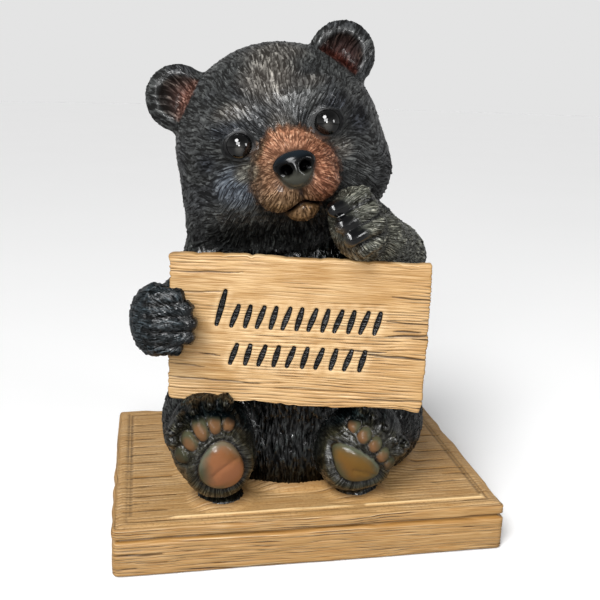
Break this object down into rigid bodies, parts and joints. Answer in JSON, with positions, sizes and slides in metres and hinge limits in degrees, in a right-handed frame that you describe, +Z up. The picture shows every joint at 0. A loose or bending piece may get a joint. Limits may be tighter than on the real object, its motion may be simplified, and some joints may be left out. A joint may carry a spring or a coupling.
{
  "type": "bear figurine",
  "caption": "Seated bear cub figurine holding a wood-look sign board by its edge, a paw raised to its mouth, on a rectangular plinth with a moulded edge.",
  "frame": {"origin": "centre of the plinth's underside", "axes": "+Z up, -Y is the front that the bear faces, +X is the viewer's right"},
  "size_m": [0.13, 0.0974, 0.1742],
  "materials": {
    "plinth": "painted wood-look cast resin, satin, tan with dark grain",
    "bear": "painted cast resin, carved fur, black with grey dry brushing and clear coat",
    "sign": "painted wood-look cast resin, satin, tan with dark grain",
    "eyes": "polished black, high gloss"
  },
  "bodies": {
    "root": {"plinth": "plinth", "bear": "bear", "sign": "sign", "left_eye": "eyes", "right_eye": "eyes"}
  },
  "joints": []
}
